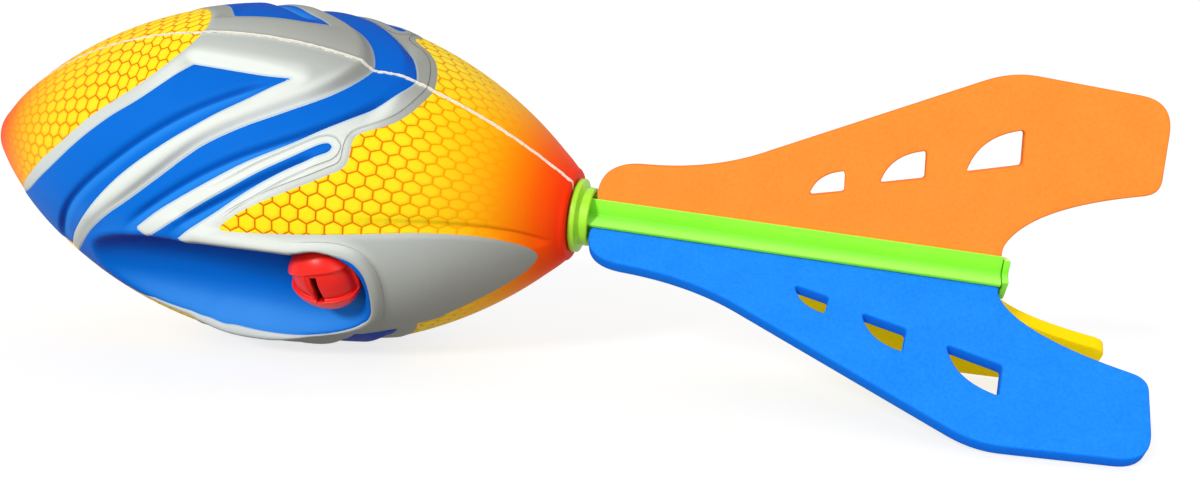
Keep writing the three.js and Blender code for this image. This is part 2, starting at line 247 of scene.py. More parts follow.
def curve(points, count):
    """A curve from the first point to the last, drawn towards those between them, without its first
    point: neighbours a and b become a + (b - a) t, again and again, until one is left."""
    t = np.linspace(0, 1, count + 1)[1:, None]
    rows = [np.array(p, float)[None] for p in points]
    while len(rows) > 1:
        rows = [a + (b - a) * t for a, b in zip(rows, rows[1:])]
    return rows[0]


def softened(points, radius, closed=True, count=5):
    """Rounds each corner of an outline: a quadratic curve from a point before it to one after it, at
    radius or at 0.45 of the shorter side."""
    points = np.array(points, float)
    before, after = np.roll(points, 1, 0), np.roll(points, -1, 0)
    out = []
    for i, (a, p, b) in enumerate(zip(before, points, after)):
        if not closed and i in (0, len(points) - 1):
            out.append(p[None])
            continue
        la, lb = np.linalg.norm(a - p), np.linalg.norm(b - p)
        r = min(radius, 0.45 * la, 0.45 * lb)
        start, end = p + (a - p) * r / la, p + (b - p) * r / lb
        out += [start[None], curve([start, p, end], count)]
    return np.concatenate(out)


def walked(line, spacing, closed=False):
    """A line of (x, y) points walked again in even steps. A closed one stops a step before its start."""
    if closed:
        line = np.concatenate([line, line[:1]])
    length = np.concatenate([[0], np.cumsum(np.hypot(*np.diff(line, axis=0).T))])
    even = np.linspace(0, length[-1], int(length[-1] / spacing), endpoint=not closed)
    return np.stack([np.interp(even, length, line[:, k]) for k in (0, 1)], 1)


def line_distance(x, y, line):
    """Least distance from each (x, y) to the sides of a line of points."""
    a, d = line[:-1], np.diff(line, axis=0)
    px, py = x[..., None] - a[:, 0], y[..., None] - a[:, 1]
    t = np.clip((px * d[:, 0] + py * d[:, 1]) / (d ** 2).sum(1), 0, 1)
    return np.hypot(px - t * d[:, 0], py - t * d[:, 1]).min(-1)


def enclosed(x, y, ring):
    """Whether each (x, y) lies inside a closed ring of points, by the even-odd rule."""
    low, high = ring[:-1], ring[1:]
    px, py = x[..., None], y[..., None]
    crosses = (low[:, 1] > py) != (high[:, 1] > py)
    rise = np.where(high[:, 1] == low[:, 1], 1e-9, high[:, 1] - low[:, 1])
    left = px < low[:, 0] + (py - low[:, 1]) * (high[:, 0] - low[:, 0]) / rise
    return (crosses & left).sum(-1) % 2 == 1


def lathe(profile, sides, axis_x=True):
    """Turns an open profile of (along, radius) points about X, or about Z: the ring at a point is its
    radius times (sin, cos) of evenly spaced turns."""
    a = np.linspace(0, 2 * np.pi, sides, endpoint=False)
    along = np.repeat(profile[:, :1], sides, 1)
    across, up = profile[:, 1:] * np.sin(a), profile[:, 1:] * np.cos(a)
    return np.stack([along, across, up] if axis_x else [across, up, along], -1)


# Finishes


def paint(red, green, blue):
    """A colour given in display values from 0 to 255, as the linear colour that a node takes."""
    c = np.array([red, green, blue]) / 255
    linear = np.where(c <= 0.04045, c / 12.92, ((c + 0.055) / 1.055) ** 2.4)
    return (*linear.tolist(), 1.0)


class Wire:
    """A socket of a graph, on which Python's operators add Math nodes."""

    def __init__(self, graph, socket):
        self.graph = graph
        self.socket = socket

    def math(self, operation, *others):
        return self.graph.node("ShaderNodeMath", {"operation": operation}, [self, *others])

    def __add__(self, other):
        return self.math("ADD", other)

    def __sub__(self, other):
        return self.math("SUBTRACT", other)

    def __mul__(self, other):
        return self.math("MULTIPLY", other)

    def __rsub__(self, other):
        return self.graph.node("ShaderNodeMath", {"operation": "SUBTRACT"}, [other, self])

    __radd__ = __add__
    __rmul__ = __mul__

    def least(self, other):
        return self.math("MINIMUM", other)

    def most(self, other):
        return self.math("MAXIMUM", other)

    def size(self):
        return self.math("ABSOLUTE")

    def cycle(self):
        return self.math("FRACT")

    def step(self, start, end):
        """Smooth step from 0 at start to 1 at end."""
        return self.graph.node(
            "ShaderNodeMapRange", {"interpolation_type": "SMOOTHSTEP"},
            {"Value": self, "From Min": start, "From Max": end},
        )


class Graph:
    """The node tree of a material or of the surround."""

    def __init__(self, tree):
        self.tree = tree

    def plug(self, socket, value):
        """Links a wire to a socket, or sets the socket to a constant."""
        if isinstance(value, Wire):
            self.tree.links.new(value.socket, socket)
        else:
            socket.default_value = value

    def node(self, kind, settings=None, values=(), output=0):
        """Adds a node: first its settings, then the values or wires of its sockets, by place or name."""
        made = self.tree.nodes.new(kind)
        for key, value in (settings or {}).items():
            if key == "stops":
                ramp = made.color_ramp
                while len(ramp.elements) < len(value):
                    ramp.elements.new(1)
                for element, (place, colour) in zip(ramp.elements, value):
                    element.position = place
                    element.color = colour
            else:
                setattr(made, key, value)
        pairs = values.items() if isinstance(values, dict) else enumerate(values)
        for key, value in pairs:
            self.plug(made.inputs[key], value)
        return Wire(self, made.outputs[output])


class Finish(Graph):
    """A material built round one Principled shader."""

    def __init__(self, name, **constants):
        self.material = bpy.data.materials.new(name)
        self.material.use_nodes = True
        super().__init__(self.material.node_tree)
        self.tree.nodes.clear()
        self.shader = self.tree.nodes.new("ShaderNodeBsdfPrincipled")
        self.surface = self.tree.nodes.new("ShaderNodeOutputMaterial").inputs["Surface"]
        self.tree.links.new(self.shader.outputs[0], self.surface)
        self.set(**constants)

    def set(self, **values):
        """Sets sockets of the shader, with _ for each space in their names."""
        for socket, value in values.items():
            self.plug(self.shader.inputs[socket.replace("_", " ")], value)

    def place(self):
        """Object coordinates, in metres."""
        return self.node("ShaderNodeTexCoord", output="Object")

    def stored(self, name):
        """A number stored for each vertex."""
        return self.node("ShaderNodeAttribute", {"attribute_name": name}, output="Fac")

    def noise(self, size_mm, detail=2.0, roughness=0.5, stretch=None):
        """Noise with features of about size_mm, from 0 to 1."""
        place = self.place()
        if stretch:
            place = self.node("ShaderNodeMapping", None, {"Vector": place, "Scale": stretch})
        return self.node("ShaderNodeTexNoise", None, {
            "Vector": place, "Scale": 1 / (size_mm * MM), "Detail": detail, "Roughness": roughness,
        })

    def cells(self, size_mm):
        """Distance to the nearest of scattered points about size_mm apart, as in closed-cell foam."""
        return self.node("ShaderNodeTexVoronoi", None, {
            "Vector": self.place(), "Scale": 1 / (size_mm * MM),
        })

    def mixed(self, share, a, b):
        """Colour a where share is 0 and b where it is 1."""
        return self.node("ShaderNodeMix", {"data_type": "RGBA"}, {0: share, 6: a, 7: b}, output=2)

    def facing(self, toward):
        """How far the surface faces a direction of the toy's own space, from -1 to 1."""
        normal = self.node("ShaderNodeTexCoord", output="Normal")
        dot = {"operation": "DOT_PRODUCT"}
        return self.node("ShaderNodeVectorMath", dot, [normal, toward], output="Value")

    def relief(self, height, depth_mm):
        """A bump of depth_mm over the height's range from 0 to 1."""
        self.set(Normal=self.node("ShaderNodeBump", None, {
            "Strength": 1.0, "Distance": depth_mm * MM, "Height": height,
        }))


def printed_foam():
    """Sprayed foam skin: silver ground, blue bands with pale edges, and a honeycomb print that turns from
    yellow to orange and red at the nose and at the hub. Light and shade are painted into it: the silver
    and the blue are paler where they face the lamps, the blue is darker where it looks down and has a
    painted sheen round the scoop, each groove has a painted shadow line and a painted highlight line, the
    silver beside the blue has a painted highlight, and the comb's cells have paler middles as a painted
    highlight. The shapes come from stored signed distances in millimetres, positive inside."""
    f = Finish("printed_foam_skin", Specular_IOR_Level=0.06)
    # lit: how far a face turns to the lamps; skyward: how far it looks up. Both paint light and shade into
    # the colours below.
    lit = f.facing((-0.25, -0.96, 0.1)).most(f.facing((-0.25, 0.96, 0.1)))
    skyward = f.facing((0.0, -0.5, 0.87)).most(f.facing((0.0, 0.5, 0.87)))
    blue, comb, seam = f.stored("blue_inside"), f.stored("comb_inside"), f.stored("seam_distance")
    u, v, place = f.stored("comb_along"), f.stored("comb_across"), f.stored("skin_place")
    grain = f.noise(0.55, 3.0, 0.6)
    mottle = f.noise(14.0, 2.0, 0.5)
    worn = f.noise(1.6, 4.0, 0.65)

    # Distance from the edge of a honeycomb's cell, whose centres are two shifted rectangular lattices
    root3 = 3 ** 0.5
    edges = []
    for shift in (0.0, 0.5):
        across = ((u + shift).cycle() - 0.5).size()
        up = ((v * (1 / root3) + shift).cycle() - 0.5).size() * root3
        edges.append(across.most(across * 0.5 + up * (root3 / 2)))
    edge = 0.5 - edges[0].least(edges[1])
    shown = place.step(-172, -130) * (1 - place.step(-42, -10))
    line = (1 - edge.step(0.03, 0.07)) * shown
    pillow = edge.step(0.0, 0.24)

    reach = 180
    stops = [
        (-177, (236, 72, 46)), (-172, (252, 86, 32)), (-166, (253, 106, 14)), (-158, (254, 140, 0)),
        (-149, (254, 170, 0)), (-138, (255, 192, 0)), (-100, (255, 218, 0)), (-52, (255, 220, 0)),
        (-38, (255, 212, 0)), (-28, (255, 198, 0)), (-20, (255, 176, 0)), (-13, (255, 140, 0)),
        (-6, (255, 88, 0)), (-1, (252, 52, 8)),
    ]
    ground = f.node("ShaderNodeValToRGB", {
        "stops": [((x + reach) / reach, paint(*colour)) for x, colour in stops],
    }, [place * (1 / reach) + 1.0])
    lines = f.mixed(place.step(-60, -34), paint(216, 84, 12), paint(230, 116, 4))
    lines = f.mixed(place.step(-140, -112), paint(236, 122, 8), lines)
    # Painted highlight: the middle of each pillowed cell is paler, with a random mottle.
    cells_with_highlight = f.mixed(pillow * shown * (0.2 + mottle * 0.5), ground, paint(255, 242, 50))
    honeycomb = f.mixed(line * 0.9, cells_with_highlight, lines)

    # Painted light: the silver is paler where it faces the lamps and greyer where it turns away, with a
    # faint random mottle.
    painted_light_and_mottle = lit.step(0.4, 1.0) + (mottle - 0.5) * 0.1
    silver = f.mixed(painted_light_and_mottle, paint(152, 153, 146), paint(204, 210, 206))
    # Painted highlight: the silver beside the blue bands turns near white where it faces the lamps, but not
    # beside the honeycomb at the front.
    strip_highlight = blue.step(-6.0, -2.5) * lit.step(0.55, 0.85) * f.stored("edge_line")
    strip_highlight = strip_highlight * (1 - comb.step(-7.0, -3.5) * (1 - place.step(-110, -92)))
    silver = f.mixed(strip_highlight * 0.65, silver, paint(236, 240, 232))
    speck = worn.step(0.68, 0.74) * 0.3
    silver = f.mixed(speck, silver, paint(232, 232, 226))
    # Painted light and shade on the blue: paler where it faces the lamps, darker where it looks down, and a
    # painted sheen with a random mottle on up-facing blue in and round the scoop.
    bands = f.mixed(lit.step(0.1, 1.0), paint(0, 72, 176), paint(0, 106, 208))
    bands = f.mixed(skyward.step(-0.75, 0.0), paint(0, 44, 148), bands)
    painted_sheen = skyward.step(0.1, 0.8) * (1 - f.stored("edge_line")) * (0.6 + mottle * 0.4)
    bands = f.mixed(painted_sheen * 0.5, bands, paint(84, 172, 246))
    # Painted shade along each groove and a painted highlight on its rising lower face.
    past_groove, in_groove = f.stored("past_groove"), f.stored("groove_shown")
    dark = past_groove.step(-0.5, 0.2) * (1 - past_groove.step(0.4, 1.0))
    light = past_groove.step(0.8, 1.2) * (1 - past_groove.step(1.4, 4.0))
    bands = f.mixed(dark * in_groove * 0.5, bands, paint(0, 62, 160))
    bands = f.mixed(light * in_groove * 0.45, bands, paint(52, 156, 244))
    fringe = blue.step(-0.6, -0.4) * (1 - blue.step(-0.1, 0.05)) * f.stored("edge_line")
    colour = f.mixed(fringe * 0.35, silver, paint(150, 196, 226))
    colour = f.mixed(blue.step(-0.08, 0.08), colour, bands)
    colour = f.mixed(comb.step(-0.08, 0.08), colour, honeycomb)
    ragged = seam + (worn - 0.5) * 1.1
    flash = (1 - ragged.step(0.3, 0.6)) * 0.9
    colour = f.mixed(flash, colour, paint(250, 244, 228))
    in_comb = comb.step(0.0, 0.3)
    f.set(Base_Color=colour, Roughness=0.5 + grain * 0.14 - in_comb * 0.06)

    # Fine grooves round the narrow band, along the scoop's bead and at the edge of the blue
    height = grain * 0.2 + in_comb * pillow * shown * 0.7 + worn * 0.1
    hook = (f.stored("narrow_inside") + 2.1).size().least((comb + 1.5).size())
    hook = (1 - hook.step(0.0, 0.35)) * f.stored("hook_shown")
    rim = (1 - f.stored("bead_line").size().step(0.0, 0.35)) * f.stored("bead_line_shown")
    height = height - (1 - blue.size().step(0.0, 0.5)) * 0.7 - hook * 1.6 - rim * 0.8
    f.relief(height, 0.22)
    return f.material


def sheet_foam(name, face, edge, dark, glow):
    """Die-cut closed-cell foam: a fine grain of cells, faint mottling, and a cut edge in its own colour.
    The glow is painted light: the sheet gives off light of its own colour, though it is no lamp, to
    brighten it where it lies in shade."""
    # The emission is a painted glow, not a lamp.
    f = Finish(name, Specular_IOR_Level=0.12, Emission_Strength=glow)
    grain = f.noise(0.8, 3.0, 0.75)
    mottle = f.noise(9.0, 3.0, 0.6)
    darker = mottle.step(0.3, 0.75) * 0.35 + grain.step(0.42, 0.6) * 0.6
    colour = f.mixed(darker, paint(*face), paint(*dark))
    colour = f.mixed(f.stored("cut_edge") * 0.8, colour, paint(*edge))
    f.set(Base_Color=colour, Emission_Color=colour, Roughness=0.78 + grain * 0.12)
    f.relief(grain * 0.6 + f.cells(0.45) * 0.4, 0.09)
    return f.material


def moulded(name, main, deep, roughness, pale=None, lip=None, hollow=None):
    """Moulded plastic: a nearly even colour, faint flow marks and a fine satin grain. Light and shade can
    be
    painted in: faces that look up are paler, level ones take the lip's colour as a painted highlight, and
    what lies in a slot or a crease takes the hollow colour as painted shade."""
    f = Finish(name, Specular_IOR_Level=0.3)
    flow = f.noise(7.0, 2.0, 0.5, stretch=(0.25, 1.0, 1.0))
    grain = f.noise(0.7, 2.0, 0.5)
    colour = f.mixed(flow.step(0.3, 0.7), paint(*main), paint(*deep))
    if pale:
        # Painted light: paler where the face looks up, and a painted highlight in the lip's colour where it
        # looks straight up.
        upward = f.facing((0, 0, 1))
        colour = f.mixed(upward.step(0.1, 0.85) * 0.8, colour, paint(*pale))
        colour = f.mixed(upward.step(0.9, 0.99), colour, paint(*lip))
    if hollow:
        # Painted shade in slots, recesses and creases, from the stored shade.
        colour = f.mixed(f.stored("shade"), colour, paint(*hollow))
    f.set(Base_Color=colour, Roughness=roughness + grain * 0.12)
    f.relief(grain * 0.4 + flow * 0.6, 0.03)
    return f.material


# Foam body

ROWS_SPACING = 0.62
ARC_POINTS = 232
INNER_POINTS = 16
SEAM_INSET = 0.02
FLASH_HEIGHT = 0.22
FLASH_WIDTH = 0.55
CHANNEL_FIT = 0.4
CHANNEL_SHIFT = 0.2
CHANNEL_END = 1.2
DISC_END = 1.3
POCKET_FADE = 12.2
CUP_WELL_FLOOR = 23.8
CUP_WELL_FADE = 8.5

# Print, as (x, b) points: x along the axis, b in degrees from the scoop's middle to the top seam. BLUE1
# and BLUE2 are the wide blue bands, counted from the nose, and NARROW is the one with a round end.
NOSE_COMB_EDGE = [
    (-163, -20), (-161, -12), (-158, 0), (-152.4, 16), (-141, 34), (-131.8, 43.4), (-124.7, 51),
    (-119.9, 56), (-113.2, 61.6), (-106.3, 68), (-101.6, 74.7), (-98.6, 80.8), (-97, 86), (-96.8, 90),
    (-97, 94), (-101.6, 105),
]
BLUE1_FRONT = [
    (-161, -16), (-157.2, 0), (-150, 12.5), (-141.7, 25.2), (-131.3, 37.3), (-123.7, 45.7),
    (-117.4, 51.8), (-111.7, 56.9), (-106.4, 60.8), (-101.8, 65.4), (-97.6, 70.4), (-93.9, 76.4),
]
BLUE1_BACK = [(-93.9, 76.4), (-82.9, 75.2), (-72.6, 75.1), (-66.7, 75.5)]
BLUE1_LOW = [
    (-139, -15), (-134.5, -5), (-129.3, 6), (-122.3, 17.7), (-115.6, 27.2), (-108.5, 35.8),
    (-102.5, 41.8), (-98.1, 45.8), (-92.2, 51.2), (-85.7, 56.8), (-79.2, 63.2), (-71.3, 71), (-66.7, 75.5),
]
BLUE1_GROOVE = [
    (-142, -14), (-140.2, -8), (-135.3, 6.6), (-129.1, 20.4), (-120.5, 32), (-111.5, 41.2), (-103.5, 49),
    (-95.5, 55.9), (-84.7, 64.5), (-76.3, 71.1), (-69, 75),
]
BLUE2_TOP = [
    (-137, -16), (-130.5, -4), (-124.5, 6.5), (-120.4, 13), (-113.5, 21.3), (-106.1, 28.2), (-99.7, 34.5),
    (-94.1, 40.2), (-88.7, 46), (-84.2, 50.6), (-75.4, 57.5), (-67.1, 63.8), (-58.6, 71.4), (-53.6, 79),
    (-50.4, 88), (-49.6, 97),
]
BLUE2_LOW = [
    (-103.1, 20.2), (-96.3, 27.4), (-87.7, 34.4), (-80.1, 40.5), (-73.3, 46.2), (-66.6, 51.2),
    (-61.6, 55.2), (-57, 59.9), (-51, 66.3), (-46, 72.6), (-42.4, 79.4), (-39.4, 88), (-38.6, 97),
]
BLUE2_GROOVE = [
    (-109, 18), (-105, 23), (-97.1, 30.8), (-89.7, 37.4), (-83.1, 42.6), (-74.7, 48.7), (-66.7, 53.8),
    (-60.2, 58.4), (-54.2, 63.9), (-48.5, 70.6), (-44.1, 77.7), (-41, 86),
]
NARROW_TOP = [
    (-99.1, 18.4), (-90.7, 25.6), (-82.4, 32.8), (-75, 38.7), (-68.3, 44.6), (-61.9, 49.8), (-57.9, 53.6),
    (-55, 56.3), (-53.2, 57), (-52.2, 55.8),
]
NARROW_LOW = [
    (-88.5, 21.5), (-85.3, 24.9), (-78.2, 31.1), (-72.7, 36.8), (-66, 43.1), (-59.7, 48.6), (-54.4, 52.6),
    (-52.6, 54), (-52.2, 55.8),
]
NARROW_GROOVE = [
    (-93, 22), (-89.5, 25.8), (-82.6, 31.3), (-74.8, 37.4), (-67.7, 43.2), (-61, 48.8), (-55, 53.8),
]
TAIL_COMB_TOP = [
    (-78.2, 25.6), (-75, 29.6), (-69.2, 34.3), (-63.3, 38.4), (-56.4, 43), (-51.5, 47), (-49, 49.2),
    (-48, 52), (-48.1, 56), (-48, 60.6), (-46.4, 62.9), (-42.1, 66.7), (-38.9, 71.4), (-36.7, 78),
    (-35, 87), (-34.4, 97),
]
TAIL_COMB_LOW = [
    (-78.2, 25.6), (-74.3, 25.4), (-63.1, 26.2), (-47.4, 27.4), (-36.8, 28.4), (-28.4, 28.6),
    (-18.7, 26.7), (-12.4, 22), (-7.7, 13.9), (-5.4, 3), (-6, -6), (-9.3, -14), (-15.7, -18.6),
    (-23.3, -21.2), (-31, -25), (-34, -40),
]
PANEL_RIDGE = [(-56, 32), (-36.8, 33.2), (-27, 33.4), (-17, 31.8), (-9, 27), (-3.2, 15)]
SHOULDER_LINE = [(-99, 84), (-96.2, 80.4), (-84.1, 79), (-70.3, 78.2), (-60, 77.6)]
SCOOP_PRINT = [
    (-128, -14), (-122, 0), (-112, 12), (-103, 17), (-99, 18.6), (-94, 20.6), (-90.4, 21.8), (-88.2, 20.6),
    (-85, 18.8), (-80.2, 18.2),
    (-70.2, 18.4), (-60.2, 19.2), (-51.1, 20.3), (-46.2, 18.6), (-43.6, 13.7), (-42.7, 7.4),
    (-42.9, -0.7), (-43.8, -8), (-46.1, -13), (-51, -15.6), (-58, -16.6), (-67, -17), (-78.4, -17.2),
    (-90, -16.6), (-102.6, -16), (-115.3, -15),
]
SWITCH_LINE = [(-185, 9), (-134, 12), (-120, 17), (-100, 20.5), (-70, 23), (-44, 24), (-31, 26), (0, 30)]
MM_PER_DEGREE = 0.73
FOLD_SWING = 28
FOLD_SPAN = 70
FOLD_OVERLAP = 0.6
SCOOP_PRINT_MARGIN = 0.4
FAR = 9

# Honeycomb: cell sizes along the axis at three places, where its cells start in radians from the scoop's
# middle, and how many there are in a radian, with more of them behind the nose
PITCH_PLACES = (-120, -110, -84)
PITCHES = (4.5, 3.35, 4.15)
COMB_TURN = 0.58
CELLS_PER_RADIAN = 9.2
MORE_CELLS = 2.0
COMB_SINK = 0.3

# Bead round the scoop: its width and height at its front end and at its rear end
BEAD_WIDTHS = (5.4, 3.5)
BEAD_HEIGHTS = (1.5, 0.6)
BEAD_SLOPE = 1.6

# Moulded grooves and ledges of the skin: the line, how far ahead of it they start, their depth, steep
# width and gentle width, and the lengths over which they fade at the line's two ends
GROOVES = [
    (BLUE1_GROOVE, 0.5, 1.6, 0.9, 6.5, (8, 10)),
    (BLUE2_GROOVE, 0.5, 1.7, 0.9, 5.6, (10, 6)),
    (NARROW_GROOVE, 0.4, 1.4, 0.8, 3.4, (8, 4)),
]
LEDGES = [
    (BLUE2_TOP, 3.0, 2.2, 2.9, 7.5, (45, 0)),
    (SHOULDER_LINE, 0.0, 1.2, 2.2, 12.0, (6, 16)),
    (PANEL_RIDGE, 0.8, 1.2, 1.6, 4.0, (30, 0)),
]


def taper(share, power):
    """1 less the square of a share, to a power."""
    return np.clip(1 - share * share, 1e-9, 1) ** power


def skin_radius(x):
    """Body radius: the widest radius times (1 - u^2) to a power, with u the share of the taper's length
    ahead of the widest place or behind it."""
    front = BODY_RADIUS * taper((WIDEST_X - x) / FRONT_TAPER, FRONT_POWER)
    rear = BODY_RADIUS * taper((x - WIDEST_X) / REAR_TAPER, REAR_POWER)
    return np.where(x < WIDEST_X, front, rear)


def body_outline():
    """The skin's (x, radius) points: a ball nose that meets the taper without a corner, the taper, a
    rounded rim and the rear face down to the stem, evenly spaced along the line."""
    start_x = WIDEST_X - NOSE_START_SHARE * FRONT_TAPER
    start_r = float(skin_radius(np.array(start_x)))
    slope = 2 * FRONT_POWER * NOSE_START_SHARE * start_r / (FRONT_TAPER * (1 - NOSE_START_SHARE ** 2))
    ball = start_r * np.hypot(1, slope)
    centre = start_x + start_r * slope
    turn = np.linspace(0.004, np.arctan2(start_r, centre - start_x), 60)
    nose = np.stack([centre - ball * np.cos(turn), ball * np.sin(turn)], 1)
    x = np.linspace(start_x, -HUB_EDGE_RADIUS, 400)[1:]
    flank = np.stack([x, skin_radius(x)], 1)
    face = flank[-1, 1] - HUB_EDGE_RADIUS
    rim = curve([flank[-1], (0.0, flank[-1, 1] - RIM_BEND), (0.0, face)], 8)
    rear = np.array([[0.0, RING_RADIUS], [0.0, STEM_RADIUS + 2 * GAP]])
    return walked(np.concatenate([nose, flank, rim, rear]), ROWS_SPACING)


def on_print(points):
    """Print points (x, b) in millimetres, with degrees as arcs."""
    return np.array(points, float) * (1, MM_PER_DEGREE)


def inside_distance(x, b, outline):
    """Signed distance in millimetres to a closed outline of the print, positive inside."""
    ring, y = on_print([*outline, outline[0]]), b * MM_PER_DEGREE
    return np.where(enclosed(x, y, ring), 1, -1) * line_distance(x, y, ring)


def blurred(field, passes):
    """Smooths a grid with 1-2-1 weights both ways, as many times as passes."""
    for _ in range(passes):
        for axis in (0, 1):
            padded = np.pad(field, [(1, 1) if axis == k else (0, 0) for k in (0, 1)], mode="edge")
            n = field.shape[axis]
            a, b, c = (np.take(padded, range(s, s + n), axis) for s in (0, 1, 2))
            field = (a + 2 * b + c) / 4
    return field


def scoop_hollow(x, turn, radius):
    """Depth of the finger scoop under the skin, and how far inside its outline a place lies. The hollow
    is an ellipse across, centred just under the skin, whose half-axes swell as t^p (1 - t)^q along it."""
    t = np.clip((x - SCOOP_FRONT_X) / SCOOP_LENGTH, 1e-6, 1 - 1e-6)
    peak = SCOOP_FRONT_POWER / (SCOOP_FRONT_POWER + SCOOP_REAR_POWER)
    swell = t ** SCOOP_FRONT_POWER * (1 - t) ** SCOOP_REAR_POWER
    swell = swell / (peak ** SCOOP_FRONT_POWER * (1 - peak) ** SCOOP_REAR_POWER)
    half, deep = SCOOP_HALF_WIDTH * swell, SCOOP_DEPTH_RADIUS * swell
    centre = BODY_RADIUS - SCOOP_DEPTH + SCOOP_DEPTH_RADIUS
    s, c = np.sin(turn), np.cos(turn)
    k2 = (s / half) ** 2 + (c / deep) ** 2
    k1 = -c * centre / deep ** 2
    k0 = (centre / deep) ** 2 - 1
    disc = k1 * k1 - k2 * k0
    near = (-k1 - np.sqrt(np.clip(disc, 0, None))) / k2
    on_scoop = (disc > 0) & (c > 0) & (x > SCOOP_FRONT_X) & (x < SCOOP_FRONT_X + SCOOP_LENGTH)
    depth = np.where(on_scoop, np.clip(radius - near, 0, None), 0)
    share = np.hypot(radius * s / half, (radius * c - centre) / deep)
    inside = np.where(c > 0.3, (1 - share) * half, -20)
    return depth, np.clip(inside, -20, 20)


def flowing(line, rounds=2):
    """A line with its corners cut at a quarter and three quarters of each side, as often as rounds."""
    line = np.array(line, float)
    for _ in range(rounds):
        a, b = line[:-1], line[1:]
        cut = np.stack([0.75 * a + 0.25 * b, 0.25 * a + 0.75 * b], 1).reshape(-1, 2)
        line = np.concatenate([line[:1], cut, line[-1:]])
    return line


def beyond(x, b, line, fades):
    """Signed distance past a flowing line, positive below it, and a share from 0 to 1 that fades over a
    length at each of the line's ends."""
    line = flowing(line)
    order = np.argsort(line[:, 0])
    below = b < np.interp(x, line[order, 0], line[order, 1])
    first, last = line[order[0], 0], line[order[-1], 0]
    fade = ease(x, first, first + fades[0]) if fades[0] else 1 + 0 * x
    if fades[1]:
        fade = fade * (1 - ease(x, last - fades[1], last))
    return np.where(below, 1, -1) * line_distance(x, b * MM_PER_DEGREE, on_print(line)), fade


def step_down(x, b, line, ahead, depth, steep, gentle, fades):
    """Depth of a moulded step: below the line the skin falls over a steep width and comes back over a
    gentle one, in millimetres. The step starts ahead of the line."""
    d, fade = beyond(x, b, line, fades)
    fall = ease(d + ahead, 0, steep) * np.clip(1 - (d + ahead - steep) / gentle, 0, 1)
    return depth * fall * fade


def printed_shapes(x, upward, folded, above_switch, scoop):
    """Signed distances, positive inside, to the blue, to the honeycomb, to the narrow band with a round
    end and to the scoop's print. Each shape is drawn straight above the switch line and folded below it,
    and the scoop's print follows the scoop's own edge where that is wider."""

    def printed(shape):
        """The further inside of the straight drawing, above the line, and the folded one, below it."""
        straight = np.minimum(inside_distance(x, upward, shape), above_switch + FOLD_OVERLAP)
        bent = np.minimum(inside_distance(x, folded, shape), FOLD_OVERLAP - above_switch)
        return np.maximum(straight, bent)

    front = printed([*flowing(BLUE1_FRONT), *flowing(BLUE1_BACK)[1:], *flowing(BLUE1_LOW)[-2::-1]])
    rear = printed([*flowing(BLUE2_TOP), *flowing(BLUE2_LOW)[::-1], (-99, 18), (-99, -16)])
    narrow = printed([*flowing(NARROW_TOP), *flowing(NARROW_LOW)[-2::-1]])
    nose_comb = printed([(-200, -20), *flowing(NOSE_COMB_EDGE), (-200, 105)])
    tail_comb = printed([*flowing(TAIL_COMB_TOP), (20, 97), (20, -40), *flowing(TAIL_COMB_LOW)[:0:-1]])
    scoop_print = inside_distance(x, upward, flowing(SCOOP_PRINT))
    blue = np.max([front, rear, narrow, scoop_print, scoop + SCOOP_PRINT_MARGIN], axis=0)
    return blue, np.maximum(nose_comb, tail_comb), narrow, scoop_print


def nearest_groove(x, b):
    """Signed distance to the nearest groove's line, and how much of that groove is there."""
    nearest, shown = FAR + 0 * x, 0 * x
    for line, *_, fades in GROOVES:
        d, fade = beyond(x, b, line, fades)
        nearer = np.abs(d) < np.abs(nearest)
        nearest, shown = np.where(nearer, d, nearest), np.where(nearer, fade, shown)
    return nearest, shown


def scoop_bead(x, upward, outward, scoop):
    """Height of the bead round the scoop, and how far a place lies past the bead's outer edge, with
    outward the distance from the scoop's print."""
    width = BEAD_WIDTHS[0] + (BEAD_WIDTHS[1] - BEAD_WIDTHS[0]) * ease(x, -76, -58)
    height = BEAD_HEIGHTS[0] + (BEAD_HEIGHTS[1] - BEAD_HEIGHTS[0]) * ease(x, -66, -50)
    height = height * ease(x, -100, -84) * ease(upward, -36, -24)
    height = height * (1 - ease(outward, width - BEAD_SLOPE, width)) * (1 - ease(scoop, -0.6, 1.5))
    return height, outward - width


def with_pocket(points):
    """Points of the skin after the whistle's pocket and the cup's well are sunk along the whistle's own
    axis: what stands over the floor goes down to it, and eases back to the skin further out."""
    lean = np.radians(WHISTLE_TURN)
    out = np.array([0, -np.sin(lean), np.cos(lean)])
    side = np.array([0, np.cos(lean), np.sin(lean)])
    off = np.hypot(points[..., 0] - WHISTLE_X, points @ side)
    in_front = points @ out > 10
    for floor, full, none in (
        (WHISTLE_SEAT, WHISTLE_RADIUS + GAP, POCKET_FADE),
        (CUP_WELL_FLOOR, CUP_RADIUS + GAP, CUP_WELL_FADE),
    ):
        sink = np.clip(points @ out - floor, 0, None) * (1 - ease(off, full, none)) * in_front
        points = points - sink[..., None] * out
    return points


def channel_radius(x, radius):
    """Radius of the channel for the hub: wide round the stem, wider round each anchor disc, and next to
    nothing ahead of them."""
    in_stem = np.abs(x + STEM_LENGTH / 2 + CHANNEL_SHIFT) < STEM_LENGTH / 2 + CHANNEL_END
    channel = np.where(in_stem, STEM_RADIUS + CHANNEL_FIT, CHANNEL_FIT)
    for rear in (STEM_LENGTH, STEM_LENGTH - ANCHOR_SPACING):
        in_disc = np.abs(x + rear - ANCHOR_WIDTH / 2) < ANCHOR_WIDTH / 2 + DISC_END
        channel = np.where(in_disc, ANCHOR_RADIUS + CHANNEL_FIT, channel)
    return np.minimum(channel, 0.8 * radius)


